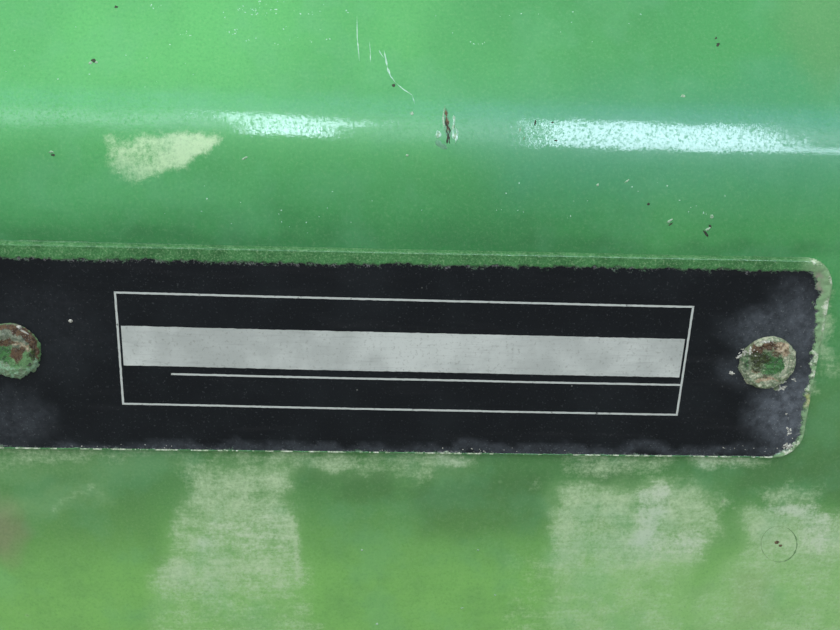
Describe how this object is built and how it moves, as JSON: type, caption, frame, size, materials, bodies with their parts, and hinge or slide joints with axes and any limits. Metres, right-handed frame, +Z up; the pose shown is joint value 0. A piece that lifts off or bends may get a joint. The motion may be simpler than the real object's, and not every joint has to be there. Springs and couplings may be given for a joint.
{
  "type": "machine frame cross member with identification plate",
  "caption": "Welded frame cross member of folded green steel, open at the back, with bolt-on end plates and a blank identification plate riveted to its front.",
  "frame": {"origin": "middle of the four bolt holes, on the outer face of the left end plate", "axes": "+X along the member to its right end, +Y from the front with the plate to the open back, +Z up"},
  "size_m": [0.34, 0.104, 0.1878],
  "materials": {
    "enamel": "glossy green enamel, weathered",
    "plate": "black anodised, scratched",
    "rivet": "overpainted green, chipped and rusty",
    "mandrel": "broken steel end"
  },
  "bodies": {
    "root": {"frame_rail": "enamel", "end_plate_left": "enamel", "end_plate_right": "enamel", "rib_left": "enamel", "rib_right": "enamel", "weld_left": "enamel", "weld_right": "enamel", "id_plate": "plate", "rivet_left": "rivet", "rivet_right": "rivet", "mandrel_left": "mandrel", "mandrel_right": "mandrel"}
  },
  "joints": []
}
